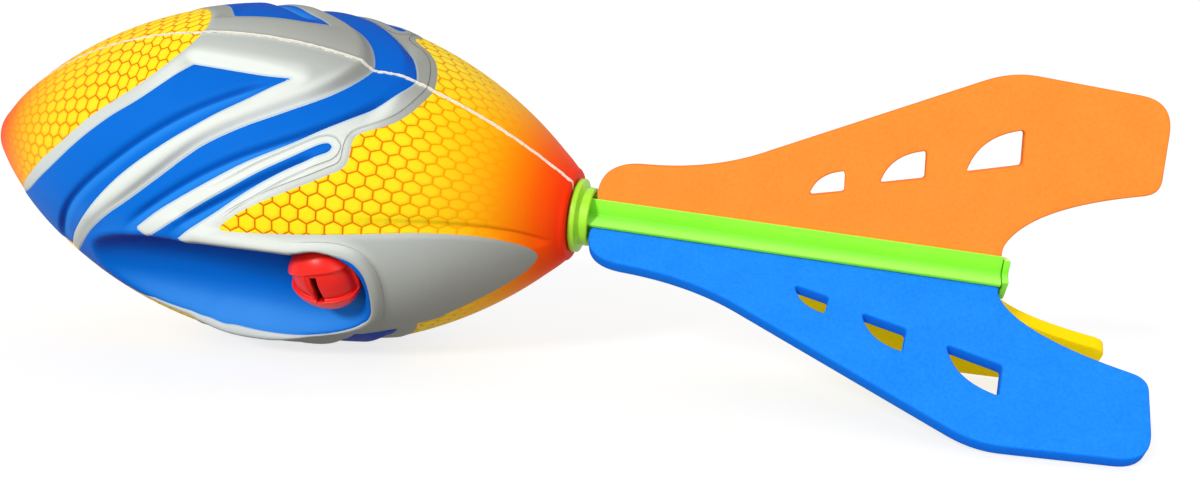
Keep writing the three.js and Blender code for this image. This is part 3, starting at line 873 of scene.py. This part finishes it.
def foam_half(name, node, turn, mirrored, finish):
    """One half of the body: rings of points along the axis, each an outer arc from seam to seam and an
    inner arc round the hub's stem. The outer radius is the skin radius, less the moulded relief and the
    scoop, and a thin flash of foam stands along the seam."""
    outline = body_outline()
    x_line, radius_line = outline[:, :1], outline[:, 1:]
    arc = np.radians(np.linspace(-90, 90, ARC_POINTS))[None]
    x, radius = x_line + 0 * arc, radius_line + 0 * arc
    local = np.degrees(arc) + 0 * x

    # Print coordinate b: straight in the upper part, folded into a zigzag in the lower part
    upward = local if mirrored else -local
    folded = 90 - FOLD_SWING * np.sin(np.pi * np.clip((90 + upward) / FOLD_SPAN, 0, 1))
    above_switch = (upward + np.interp(x, *np.array(SWITCH_LINE, float).T)) * MM_PER_DEGREE
    upper = above_switch > 0
    b = np.where(upper, upward, folded)

    depth, scoop = scoop_hollow(x, np.radians(local), radius)
    blue, comb, narrow, scoop_print = printed_shapes(x, upward, folded, above_switch, scoop)
    groove, groove_shown = nearest_groove(x, b)
    bead, past_bead = scoop_bead(x, upward, -scoop_print, scoop)

    carve = sum(step_down(x, b, *step) for step in GROOVES + LEDGES)
    carve = carve * (1 - ease(scoop, -2.5, 0.5)) * ease(x, -170, -150) * np.where(upper, 1, 0.6)
    carve = blurred(carve + COMB_SINK * ease(comb, -0.9, 0.3) - bead, 1)
    to_seam = np.radians(90 - np.abs(local)) * np.clip(radius, 1, None)
    flash = FLASH_HEIGHT * np.exp(-(to_seam / FLASH_WIDTH) ** 2) * ease(radius, 8, 14) * (x < -1)
    hold = ease(radius, 4, 12) * ease(-x, 2, 7)
    r = radius - carve * hold - blurred(depth, 5) + flash
    outer = with_pocket(np.stack([x, -r * np.sin(arc), r * np.cos(arc)], -1))

    back = np.radians(np.linspace(90, -90, INNER_POINTS))[None]
    channel = channel_radius(x_line, radius_line)
    inner = np.stack([x_line + 0 * back, -channel * np.sin(back), channel * np.cos(back)], -1)
    verts, faces = loft(np.concatenate([outer, inner], 1) + (0, 0, SEAM_INSET))
    obj = piece(name, turned(verts, turn), faces, "toy", finish, [node])

    # The honeycomb's own coordinates, in cells: along the axis and round it
    pitch = np.interp(x_line, PITCH_PLACES, PITCHES)
    cells_along = np.cumsum(np.diff(x_line, axis=0, prepend=x_line[:1]) / pitch, axis=0) + 0 * arc
    per_radian = CELLS_PER_RADIAN + MORE_CELLS * ease(x, -124, -94)
    cells_round = (np.radians(np.abs(local)) - COMB_TURN) * per_radian
    pad = ((0, 0), (0, INNER_POINTS))
    for key, values, in_channel in (
        ("blue_inside", blue, -FAR), ("comb_inside", comb, -FAR), ("narrow_inside", narrow, -FAR),
        ("past_groove", groove, FAR), ("bead_line", past_bead + 0.3, FAR),
    ):
        attribute(obj, key, np.pad(np.clip(values, -FAR, FAR), pad, constant_values=in_channel))
    for key, values in (
        ("groove_shown", groove_shown * upper), ("edge_line", ease(upward, 14, 26)),
        ("hook_shown", ease(x, -84, -70) * ease(upward, 27, 34)),
        ("bead_line_shown", ease(x, -62, -54) * ease(upward, -24, -8)),
        ("seam_distance", to_seam), ("skin_place", x),
        ("comb_along", cells_along), ("comb_across", cells_round),
    ):
        attribute(obj, key, np.pad(values, pad))
    return obj


# Whistles


def on_whistle(points, turn):
    """Carries points drawn round Z at the origin to the whistle's place, out along its axis."""
    return turned(np.asarray(points, float) + (WHISTLE_X, 0, 0), turn + WHISTLE_TURN)


def whistle_cap(name, node, turn, finish):
    """A dome over a polar grid: height sqrt(1 - (r / rim)^2). A band across it is recessed between the
    sloping edge of its hood and a curved lip, and holds a slanting ridge and a slot. A flat
    underside closes it."""
    rho = WHISTLE_RADIUS * np.sin(np.linspace(0.002, np.pi / 2, DOME_RINGS))[:, None]
    phi = np.linspace(0, 2 * np.pi, DOME_POINTS, endpoint=False)[None]
    x, y = rho * np.cos(phi), rho * np.sin(phi)

    def dome(inset):
        """Height of the dome, drawn in all round by an inset."""
        share = np.hypot(x, y) / (WHISTLE_RADIUS - inset)
        return (DOME_HEIGHT - inset) * np.sqrt(np.clip(1 - share * share, 0, 1))

    def bar(middle, size, slant, softness):
        """1 inside a slanting bar of a width and length, eased to 0 over its soft edge."""
        a = np.radians(slant)
        across = np.abs((x - middle) * np.cos(a) + y * np.sin(a))
        lengthways = np.abs(-(x - middle) * np.sin(a) + y * np.cos(a))
        half_width, half_length = size[0] / 2, size[1] / 2
        side = 1 - ease(across, half_width - softness, half_width)
        return side * (1 - ease(lengthways, half_length - softness, half_length))

    hood_edge = HOOD_EDGE + HOOD_SLOPE * x - HOOD_CURVE * x * x
    hood = ease(y - hood_edge, -EDGE_SOFTNESS, EDGE_SOFTNESS)
    lip = ease(LIP_EDGE + LIP_CURVE * x * x - y, -EDGE_SOFTNESS, EDGE_SOFTNESS)
    raised = np.maximum(hood, lip)
    outer, recess = dome(0), dome(BAND_RECESS)
    z = recess + (outer - recess) * raised
    ridge = bar(RIDGE_PLACE, RIDGE_SIZE, RIDGE_SLANT, RIDGE_SOFTNESS) * (1 - raised)
    z = z + np.clip(outer - z, 0, None) * RIDGE_SHARE * ridge
    slot = bar(SLOT_PLACE, SLOT_SIZE, SLOT_SLANT, EDGE_SOFTNESS) * (1 - hood)
    z = z - np.clip(z - SLOT_FLOOR, 0, None) * slot
    top = np.stack([x, y, CAP_BASE + z], -1)
    foot = np.stack([x[-1], y[-1], np.full(DOME_POINTS, CAP_BASE - DOME_FOOT)], -1)[None]
    verts, faces = loft(np.concatenate([top, foot]))
    obj = piece(name, on_whistle(verts, turn), faces, "toy", finish, [node])
    # Painted shade: the slot is dark and the recessed band a little darker, in the hollow colour.
    shade = np.maximum(ease(slot, 0.02, 0.3), RECESS_SHADE * (1 - raised))
    attribute(obj, "shade", np.pad(shade, ((0, 1), (0, 0))))
    return obj


def whistle_cup(name, node, turn, finish):
    """The whistle's cup and flange, turned from a softened profile."""
    inner = CUP_RADIUS - WHISTLE_WALL
    bottom = FLANGE_BASE - CUP_DEPTH + GAP
    profile = softened([
        (bottom, NEAR_AXIS), (bottom, CUP_RADIUS), (FLANGE_BASE, CUP_RADIUS), (FLANGE_BASE, WHISTLE_RADIUS),
        (FLANGE_TOP, WHISTLE_RADIUS), (FLANGE_TOP, inner), (bottom + WHISTLE_WALL, inner),
        (bottom + WHISTLE_WALL, NEAR_AXIS),
    ], CUP_SOFTNESS, closed=False)
    verts, faces = loft(lathe(profile, CUP_SIDES, axis_x=False))
    return piece(name, on_whistle(verts, turn), faces, "toy", finish, [node])


# Tail


def tail_hub(finish):
    """The hub, turned from a softened profile: two anchor discs, stem, ring and the core's socket."""
    points = []
    for rear, start_radius in ((STEM_LENGTH, NEAR_AXIS), (STEM_LENGTH - ANCHOR_SPACING, STEM_RADIUS)):
        points += [
            (-rear, start_radius), (-rear, ANCHOR_RADIUS), (ANCHOR_WIDTH - rear, ANCHOR_RADIUS),
            (ANCHOR_WIDTH - rear, STEM_RADIUS),
        ]
    corner = float(np.hypot(LIP_TOP, LIP_OFFSET))
    inner, outer = corner + GAP, corner + GAP + SOCKET_WALL
    depth = RING_END - SPIGOT_LENGTH - GAP
    points += [
        (RING_START, STEM_RADIUS), (RING_START, RING_RADIUS), (RING_END, RING_RADIUS), (RING_END, outer),
        (SOCKET_END, outer), (SOCKET_END, inner), (RING_END, inner), (RING_END, SPIGOT_RADIUS + GAP),
        (depth, SPIGOT_RADIUS + GAP), (depth, NEAR_AXIS),
    ]
    verts, faces = loft(lathe(softened(points, HUB_SOFTNESS, closed=False), HUB_SIDES))
    return piece("hub_ring_and_stem", verts, faces, "toy", finish, ["tail_hub"])


def core_section(slotted):
    """The core's section as (y, z): a lobe at each fin, with a slot or plain and lower, and a crease half
    way between neighbours."""
    top = LIP_TOP if slotted else LIP_TOP - CAP_DROP
    turns = [0, LOWER_FIN_TURN, 360 - LOWER_FIN_TURN]
    points = []
    for turn, following in zip(turns, [*turns[1:], 360]):
        half = (following - turn) / 2
        floor = top - SLOT_DEPTH
        lobe = [(top, LIP_OFFSET)]
        if slotted:
            lobe += [(top, SLOT_HALF), (floor, SLOT_HALF), (floor, -SLOT_HALF), (top, -SLOT_HALF)]
        lobe += [(top, -LIP_OFFSET)]
        a = np.radians(turn)
        for out, off in lobe:
            points.append((off * np.cos(a) - out * np.sin(a), off * np.sin(a) + out * np.cos(a)))
        m = np.radians(turn + half)
        crease = CREASE_SHARE * LIP_OFFSET / np.sin(np.radians(half))
        points.append((-crease * np.sin(m), crease * np.cos(m)))
    return softened(points, CORE_SOFTNESS, count=4)


def core_length(name, node, slotted, start, end, finish):
    """The core's section carried from start to end, drawn in a little at both ends. Its creases are in
    shade."""
    section = core_section(slotted)
    middle = np.linspace(start + END_DRAW, end - END_DRAW, 40 if slotted else 3)
    x = np.concatenate([[start, start + END_DRAW / 2], middle, [end - END_DRAW / 2, end]])
    inset = np.clip(1 - np.minimum(x - start, end - x) / END_DRAW, 0, 1) ** 2 * END_DRAW
    shrink = (1 - inset / 6)[:, None]
    rings = np.stack([x[:, None] + 0 * section[:, 0], section[:, 0] * shrink, section[:, 1] * shrink], -1)
    verts, faces = loft(rings)
    obj = piece(name, verts, faces, "toy", finish, [node])
    radius = np.hypot(*section.T)
    # Painted shade, strongest in the creases and none on the outer third of the section's radius.
    shade = 0.9 * (radius.max() - radius) / np.ptp(radius) - 0.3
    attribute(obj, "shade", np.tile(shade, (len(x), 1)))
    return obj


# Fins

LEAD = [(0, 0.14), (0.002, 0.25), (0.028, 0.318), (0.085, 0.32)]
LEAD_BEND = [(0.085, 0.32), (0.17, 0.33), (0.25, 0.38), (0.32, 0.479)]
SHOULDER = [(0.679, 0.95), (0.722, 1.009), (0.767, 1)]
AFT_CORNER = [(0.942, 0.962), (0.994, 0.95), (0.997, 0.8)]
HEEL = [(1, 0.57), (1, 0.505), (0.975, 0.489)]
TRAIL_BEND = [(0.975, 0.489), (0.9, 0.44), (0.785, 0.34), (0.759, 0.15)]
VENT_FRONTS = [(0.403, 0.28), (0.527, 0.388), (0.674, 0.498)]
VENT_LENGTHS = [8.5, 10.6, 12.6]
VENT_HEIGHTS = [7.2, 9.4, 11.8]
VENT_BEND = (0.12, 0.8)
VENT_PEAK = (0.94, 1)
VENT_HEEL = (1, 0.28)
BEND_START = LIP_TOP - GAP
BEND_END = HINGE_RADIUS + 2.4
FIN_EDGE = 0.4
ROOT_LIFT = 0.05
OUTLINE_CORNER = 0.8
VENT_CORNER = 0.5
FIN_WALK = 0.8
NET_SPACING = 2.4
ROOT_ROWS = (4.9, 9.6, 0.7)
FIRST_WIDE_ROW = 11
OUTLINE_ROOM = 0.5
VENT_ROOM = 0.7


def fin_points(shares):
    """Shares of the fin's length and reach, as (x, out) points from its front."""
    return np.array(shares, float) * (FIN_LENGTH, FIN_REACH) + (FIN_FRONT, 0)


def fin_loops():
    """The fin's outline and its three vents as (x, out) loops with soft corners and even steps."""
    root = HINGE_RADIUS - FIN_THICKNESS / 2 + ROOT_LIFT
    outline = np.concatenate([
        [(FIN_FRONT, root)], fin_points(LEAD[:1]), curve(fin_points(LEAD), 12),
        curve(fin_points(LEAD_BEND), 16), fin_points(SHOULDER[:1]), curve(fin_points(SHOULDER), 8),
        fin_points(AFT_CORNER[:1]), curve(fin_points(AFT_CORNER), 10), fin_points(HEEL[:1]),
        curve(fin_points(HEEL), 6), curve(fin_points(TRAIL_BEND), 16), [(FIN_FRONT + FIN_ROOT, root)],
    ])
    loops = [softened(outline, OUTLINE_CORNER, count=3)]
    for front, length, height in zip(fin_points(VENT_FRONTS), VENT_LENGTHS, VENT_HEIGHTS):
        shares = np.array([(0, 0), VENT_HEEL, VENT_PEAK, VENT_BEND])
        tip, heel, peak, bend = front + shares * (length, height)
        arc = curve([peak, bend, tip], 10)
        loops.append(softened(np.concatenate([[tip, heel, peak], arc[:-1]]), VENT_CORNER, count=3))
    return [walked(loop, FIN_WALK, closed=True) for loop in loops]


def on_sheet(points, loops, rooms=None):
    """Whether points lie inside the outline and outside the vents and, where rooms are given, further
    from the outline than the first and from the vents than the second."""
    kept = np.ones(len(points), bool)
    for k, loop in enumerate(loops):
        ring = np.concatenate([loop, loop[:1]])
        kept &= enclosed(*points.T, ring) != (k > 0)
        if rooms:
            kept &= line_distance(*points.T, ring) > rooms[min(k, 1)]
    return kept


def cut_edge(loop, is_vent):
    """Rings of points over a cut edge: a quarter circle, a flat wall and a quarter circle, each point
    moved in from the loop along the loop's normal, and up or down."""
    quarter = np.linspace(0, np.pi / 2, 4)
    inset = FIN_EDGE * (1 - np.sin(quarter))
    level = FIN_THICKNESS / 2 - FIN_EDGE + FIN_EDGE * np.cos(quarter)
    inset, level = np.concatenate([inset, inset[::-1]]), np.concatenate([level, -level[::-1]])
    along = np.roll(loop, -1, 0) - np.roll(loop, 1, 0)
    normal = np.stack([along[:, 1], -along[:, 0]], 1) / np.linalg.norm(along, axis=1)[:, None]
    area = np.sum(loop[:, 0] * np.roll(loop[:, 1], -1) - loop[:, 1] * np.roll(loop[:, 0], -1)) / 2
    inward = normal * (-1 if area > 0 else 1) * (-1 if is_vent else 1)
    ring = loop[None] + inset[:, None, None] * inward[None]
    return np.concatenate([ring, np.broadcast_to(level[:, None, None], (*ring.shape[:2], 1))], -1)


def fin_sheet():
    """A fin standing up from the axis, as points, faces and 1 for each point of a cut edge: two flat
    faces, each a fine triangle net inside the outline and outside the vents with close rows near the
    root, joined by softly rounded cut edges."""
    edges = [cut_edge(loop, k > 0) for k, loop in enumerate(fin_loops())]
    grids, total = [], 0
    for ring in edges:
        count = ring.shape[0] * ring.shape[1]
        grids.append(total + np.arange(count).reshape(ring.shape[:2]))
        total += count
    edge_mark = np.repeat([0.0, 1.0, 0.0], [1, len(edges[0]) - 2, 1])
    cut = [np.repeat(edge_mark, ring.shape[1]) for ring in edges]

    wide_rows = np.arange(FIRST_WIDE_ROW, FIN_REACH + 2, NET_SPACING)
    out_rows = np.concatenate([np.arange(*ROOT_ROWS), wide_rows])
    columns = np.arange(FIN_FRONT, FIN_FRONT + FIN_LENGTH, NET_SPACING)
    net = np.stack(np.meshgrid(columns, out_rows, indexing="ij"), -1).reshape(-1, 2)
    loops = [ring[0, :, :2] for ring in edges]
    net = net[on_sheet(net, loops, (OUTLINE_ROOM, VENT_ROOM))]
    flat = np.concatenate([*loops, net])
    sides, base = [], 0
    for loop in loops:
        ids = base + np.arange(len(loop))
        sides += np.stack([ids, np.roll(ids, -1)], 1).tolist()
        base += len(loop)
    made, _, triangles, origin, _, _ = delaunay_2d_cdt([Vector(p) for p in flat], sides, [], 0, 1e-6)
    triangles = np.array([t for t in triangles if len(t) == 3])
    places = np.array([tuple(p) for p in made])
    triangles = triangles[on_sheet(places[triangles].mean(1), loops)]
    corners = np.array([ids[0] for ids in origin])[triangles]
    a, b, c = (flat[corners[:, i]] for i in range(3))
    left_handed = np.cross(b - a, c - a) < 0
    corners[left_handed] = corners[left_handed][:, ::-1]

    net_ids = total + np.arange(len(net))
    top_of = np.concatenate([*(grid[0] for grid in grids), net_ids])
    bottom_of = np.concatenate([*(grid[-1] for grid in grids), net_ids + len(net)])
    faces = [quads_between(grid) for grid in grids]
    faces += [top_of[corners], bottom_of[corners][:, ::-1]]
    verts = [ring.reshape(-1, 3) for ring in edges]
    for level in (FIN_THICKNESS / 2, -FIN_THICKNESS / 2):
        verts.append(np.concatenate([net, np.full((len(net), 1), level)], 1))
        cut.append(np.zeros(len(net)))
    return np.concatenate(verts)[:, [0, 2, 1]] * (1, -1, 1), faces, np.concatenate(cut)


def fin(name, node, turn, sheet, finish):
    """One foam fin, turned to its place about the toy's axis."""
    points, faces, cut = sheet
    obj = piece(name, turned(points, turn), faces, None, finish, [node])
    attribute(obj, "cut_edge", cut)
    middle = FIN_FRONT + FIN_ROOT / 2
    ends = on_table(turned([(middle, 0, BEND_START), (middle, 0, BEND_END)], turn))
    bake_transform(obj)
    return obj


# Stage

WHITE = (1, 1, 1, 1)
FLOOR_HALF = 6
FLOOR_GLOW = 1.16
FLOOR_GLOW_SHARE = 0.66
SKY = 0.5
SKY_SEEN = 1.05
LAMPS = [
    ("key_light", (-0.4, -1.0, 0.5), 12, 2.05),
    ("side_light", (0.9, -1.0, 0.3), 30, 0.6),
    ("back_light", (0.5, 1.0, 0.7), 60, 0.6),
]


def floor():
    """A pale floor that keeps the toy's shadow. To the camera, in gloss and through glass it also glows,
    so that it meets the surround without an edge."""
    mesh = bpy.data.meshes.new("floor")
    corners = [(x * FLOOR_HALF, y * FLOOR_HALF, 0) for x, y in ((-1, -1), (1, -1), (1, 1), (-1, 1))]
    mesh.from_pydata(corners, [], [(0, 1, 2, 3)])
    obj = bpy.data.objects.new("floor", mesh)
    bpy.context.scene.collection.objects.link(obj)
    f = Finish("pale_floor", Roughness=0.9, Specular_IOR_Level=0.1)
    seen = f.node("ShaderNodeLightPath", output="Is Camera Ray")
    for ray in ("Is Glossy Ray", "Is Transmission Ray"):
        seen = seen.most(f.node("ShaderNodeLightPath", output=ray))
    f.set(Base_Color=f.mixed(seen, paint(190, 190, 190), paint(246, 246, 246)))
    glow = f.node("ShaderNodeEmission", None, {"Color": WHITE, "Strength": FLOOR_GLOW})
    plain = Wire(f, f.shader.outputs[0])
    f.plug(f.surface, f.node("ShaderNodeMixShader", None, [seen * FLOOR_GLOW_SHARE, plain, glow]))
    mesh.materials.append(f.material)


def light():
    """A white surround, brighter to the camera than on the toy, and three soft lamps."""
    world = bpy.data.worlds.new("surround")
    world.use_nodes = True
    bpy.context.scene.world = world
    sky = Graph(world.node_tree)
    background = sky.tree.nodes["Background"].inputs
    seen = sky.node("ShaderNodeLightPath", output="Is Camera Ray")
    sky.plug(background["Color"], WHITE)
    sky.plug(background["Strength"], seen * (SKY_SEEN - SKY) + SKY)

    for name, toward, spread, power in LAMPS:
        data = bpy.data.lights.new(name, "SUN")
        data.angle = np.radians(spread)
        data.energy = power
        lamp = bpy.data.objects.new(name, data)
        lamp.location = toward
        lamp.rotation_euler = Vector(toward).to_track_quat("Z", "Y").to_euler()
        bpy.context.scene.collection.objects.link(lamp)


# Camera: its turn and place against the toy's frame, and its focal length in image widths
CAMERA_ROLL = 8.5
CAMERA_YAW = 11.37
CAMERA_TILT = 9.12
CAMERA_TO_TOY = (-6.69, -6.48, 289.76)
FOCAL_WIDTHS = 1069.3 / 1200
SENSOR_WIDTH = 36


def camera():
    """The view: a point of the toy is tilted, yawed and rolled, then moved, into axes that point right,
    down and forward."""
    tilt, yaw, roll = np.radians([CAMERA_TILT, CAMERA_YAW, CAMERA_ROLL])
    lay = np.array([
        [1, 0, 0],
        [0, -np.sin(tilt), -np.cos(tilt)],
        [0, np.cos(tilt), -np.sin(tilt)],
    ])
    ry = np.array([[np.cos(yaw), 0, np.sin(yaw)], [0, 1, 0], [-np.sin(yaw), 0, np.cos(yaw)]])
    rz = np.array([[np.cos(roll), -np.sin(roll), 0], [np.sin(roll), np.cos(roll), 0], [0, 0, 1]])
    toward = rz @ ry @ lay
    eye = on_table(-toward.T @ np.array(CAMERA_TO_TOY))
    right, down, forward = toward @ TURNED
    data = bpy.data.cameras.new("camera")
    data.sensor_fit = "HORIZONTAL"
    data.sensor_width = SENSOR_WIDTH
    data.lens = FOCAL_WIDTHS * SENSOR_WIDTH
    data.clip_start = 0.01
    obj = bpy.data.objects.new("camera", data)
    axes = np.stack([right, -down, -forward], 1)
    obj.matrix_world = Matrix.Translation(Vector(eye)) @ Matrix(axes.tolist()).to_4x4()
    bpy.context.scene.collection.objects.link(obj)
    bpy.context.scene.camera = obj


camera()
floor()
light()

skin = printed_foam()
foam_half("body_foam_left", "foam_body_left_half", SCOOP_TURN, False, skin)
foam_half("body_foam_right", "foam_body_right_half", SCOOP_TURN + 180, True, skin)

# hollow: painted shade in the whistle's slot and recessed band.
red = moulded("red_whistle_plastic", (255, 34, 22), (244, 26, 16), 0.3, hollow=(80, 4, 3))
for side, turn in (("left", SCOOP_TURN), ("right", SCOOP_TURN + 180)):
    whistle_cap(f"whistle_dome_{side}", f"whistle_cap_{side}", turn, red)
    whistle_cup(f"whistle_cup_{side}", f"whistle_housing_{side}", turn, red)

tail_hub(moulded("ring_green_plastic", (176, 238, 56), (160, 226, 44), 0.32))
# pale, lip and hollow: painted light on up-facing faces, a painted highlight on the level lip tops, and
# painted shade in the creases.
green = moulded(
    "core_green_plastic", (150, 248, 56), (140, 242, 48), 0.3,
    pale=(172, 252, 104), lip=(236, 255, 70), hollow=(108, 216, 18),
)
core_length("core_rail", "tail_core", True, RING_END + GAP, CORE_END, green)
core_length("core_end_cap", "tail_end_cap", False, CORE_END + GAP, CORE_END + GAP + CAP_LENGTH, green)

sheet = fin_sheet()
# The last number is a painted glow: the yellow fin gives off light, though it is no lamp, to brighten it
# where it lies in shade.
for colour, side, turn, face, edge, dark, glow in (
    ("orange", "top", 0, (255, 146, 56), (250, 128, 40), (250, 138, 46), 0.0),
    ("blue", "left", LOWER_FIN_TURN, (30, 140, 250), (6, 116, 236), (18, 128, 242), 0.0),
    ("yellow", "right", -LOWER_FIN_TURN, (250, 218, 0), (236, 202, 0), (240, 208, 0), 0.22),
):
    foam = sheet_foam(f"{colour}_sheet_foam", face, edge, dark, glow)
    fin(f"{colour}_fin", f"{side}_fin_{colour}", turn, sheet, foam)

bpy.context.scene.view_settings.view_transform = "Standard"
